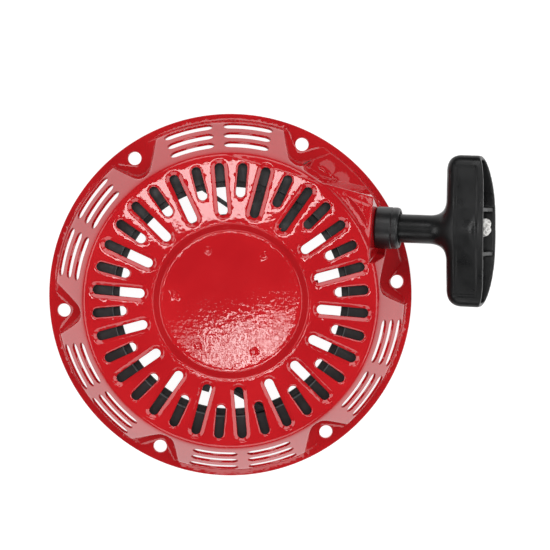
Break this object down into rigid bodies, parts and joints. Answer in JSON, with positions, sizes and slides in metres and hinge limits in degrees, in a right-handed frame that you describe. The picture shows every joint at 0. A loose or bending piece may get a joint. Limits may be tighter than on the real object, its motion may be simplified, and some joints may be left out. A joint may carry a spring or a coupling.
{
  "type": "recoil starter",
  "caption": "Recoil pull starter for a small engine: round slotted red steel housing with bolt pockets and side vents, rope reel, ratchets, rope guide and black T-handle.",
  "frame": {"origin": "centre of the bolt circle on the mounting plane", "axes": "+Z along the starter's axis, away from the engine; +X towards the side where the handle leaves"},
  "size_m": [0.255, 0.2108, 0.0531],
  "materials": {
    "red_paint": "gloss enamel on pressed steel",
    "black_plastic": "moulded, satin",
    "reel_plastic": "moulded nylon",
    "zinc_plate": "zinc plated",
    "ratchet_steel": "yellow zinc plated",
    "spring_steel": "oiled spring steel",
    "rope": "braided nylon"
  },
  "bodies": {
    "housing": {"case": "red_paint", "post_plate": "zinc_plate", "center_post": "zinc_plate", "rope_guide": "black_plastic", "guide_screw": "zinc_plate", "lock_washer": "zinc_plate", "friction_spring": "spring_steel", "thrust_washer": "spring_steel"},
    "reel_body": {"reel": "reel_plastic", "rope_wound": "rope", "rope_anchor_knot": "rope", "recoil_spring": "spring_steel", "ratchet_spring_1": "spring_steel", "ratchet_spring_2": "spring_steel"},
    "guide_body": {"ratchet_guide": "ratchet_steel"},
    "pawl_body_1": {"ratchet_1": "ratchet_steel"},
    "pawl_body_2": {"ratchet_2": "ratchet_steel"},
    "handle": {"grip": "black_plastic", "rope_knot": "rope", "rope_run": "rope"}
  },
  "joints": [
    {"name": "reel_turn", "type": "hinge", "parent": "housing", "child": "reel_body", "pos_m": [0, 0, 0.027], "axis": [0, 0, -1], "range_deg": [0, 790], "stiffness_Nm_per_rad": 0.03, "springref_deg": -687.55, "deforming": ["recoil_spring", "rope_run"]},
    {"name": "handle_pull", "type": "slide", "parent": "housing", "child": "handle", "axis": [0.9718, -0.0339, 0.2334], "range_m": [0, 1.04]},
    {"name": "guide_turn", "type": "hinge", "parent": "reel_body", "child": "guide_body", "pos_m": [0, 0, 0.0115], "axis": [0, 0, 1], "range_deg": [0, 35], "stiffness_Nm_per_rad": 0.02, "springref_deg": -28.65},
    {"name": "ratchet_1_swing", "type": "hinge", "parent": "reel_body", "child": "pawl_body_1", "pos_m": [0.024, 0, 0.0165], "axis": [0, 0, 1], "range_deg": [0, 30.5]},
    {"name": "ratchet_2_swing", "type": "hinge", "parent": "reel_body", "child": "pawl_body_2", "pos_m": [-0.024, 0, 0.0165], "axis": [0, 0, 1], "range_deg": [0, 30.5]}
  ],
  "couplings": [
    {"joint": "handle_pull", "follows": "reel_turn", "m_per_rad": 0.0748},
    {"joint": "ratchet_1_swing", "follows": "guide_turn", "ratio": 0.857},
    {"joint": "ratchet_2_swing", "follows": "guide_turn", "ratio": 0.857}
  ]
}
